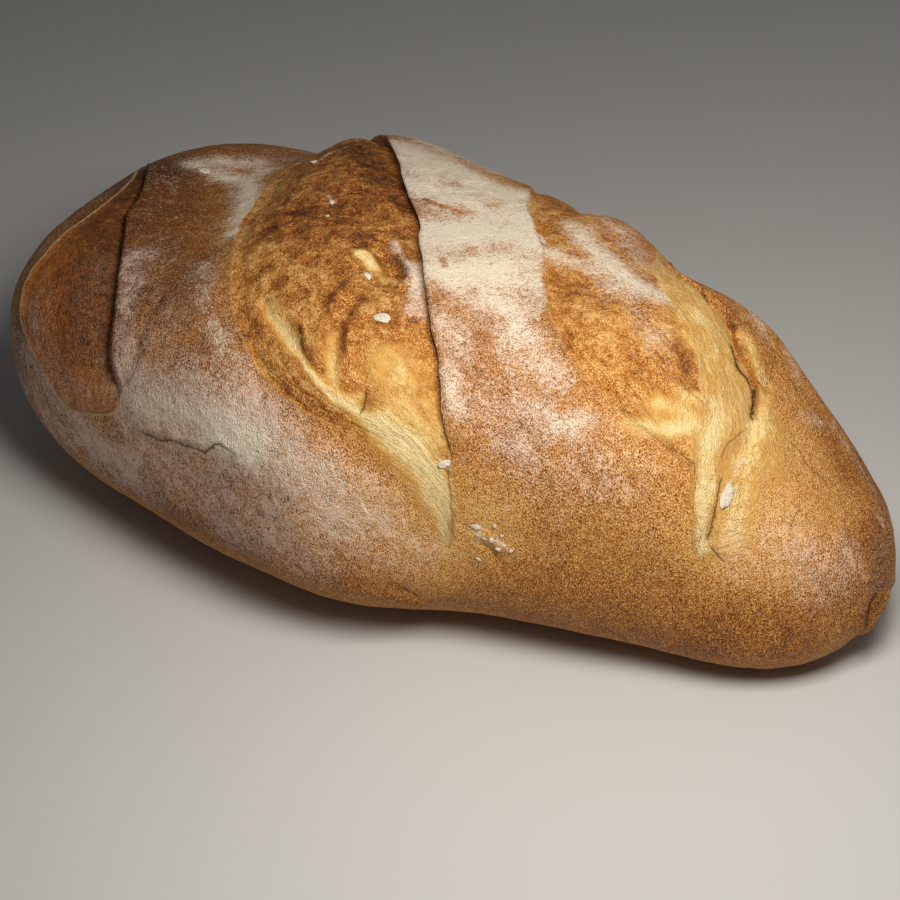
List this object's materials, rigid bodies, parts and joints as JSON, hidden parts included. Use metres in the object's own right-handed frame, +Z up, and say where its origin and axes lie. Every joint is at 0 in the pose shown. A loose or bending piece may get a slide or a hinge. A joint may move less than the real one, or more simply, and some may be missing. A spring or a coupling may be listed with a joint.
{
  "type": "bread loaf",
  "caption": "Oval white bread loaf with diagonal scored cuts, raised ears and a flour-dusted crust, to serve whole or slice.",
  "frame": {"origin": "middle of the loaf's box at the height of the flat base", "axes": "+X along the loaf from its broad end to its narrow end, +Y away from the long side that the picture shows, +Z up"},
  "size_m": [0.3053, 0.1775, 0.1089],
  "materials": {
    "crust": "matte baked crust, dusted with flour"
  },
  "bodies": {
    "root": {"loaf": "crust"}
  },
  "joints": []
}
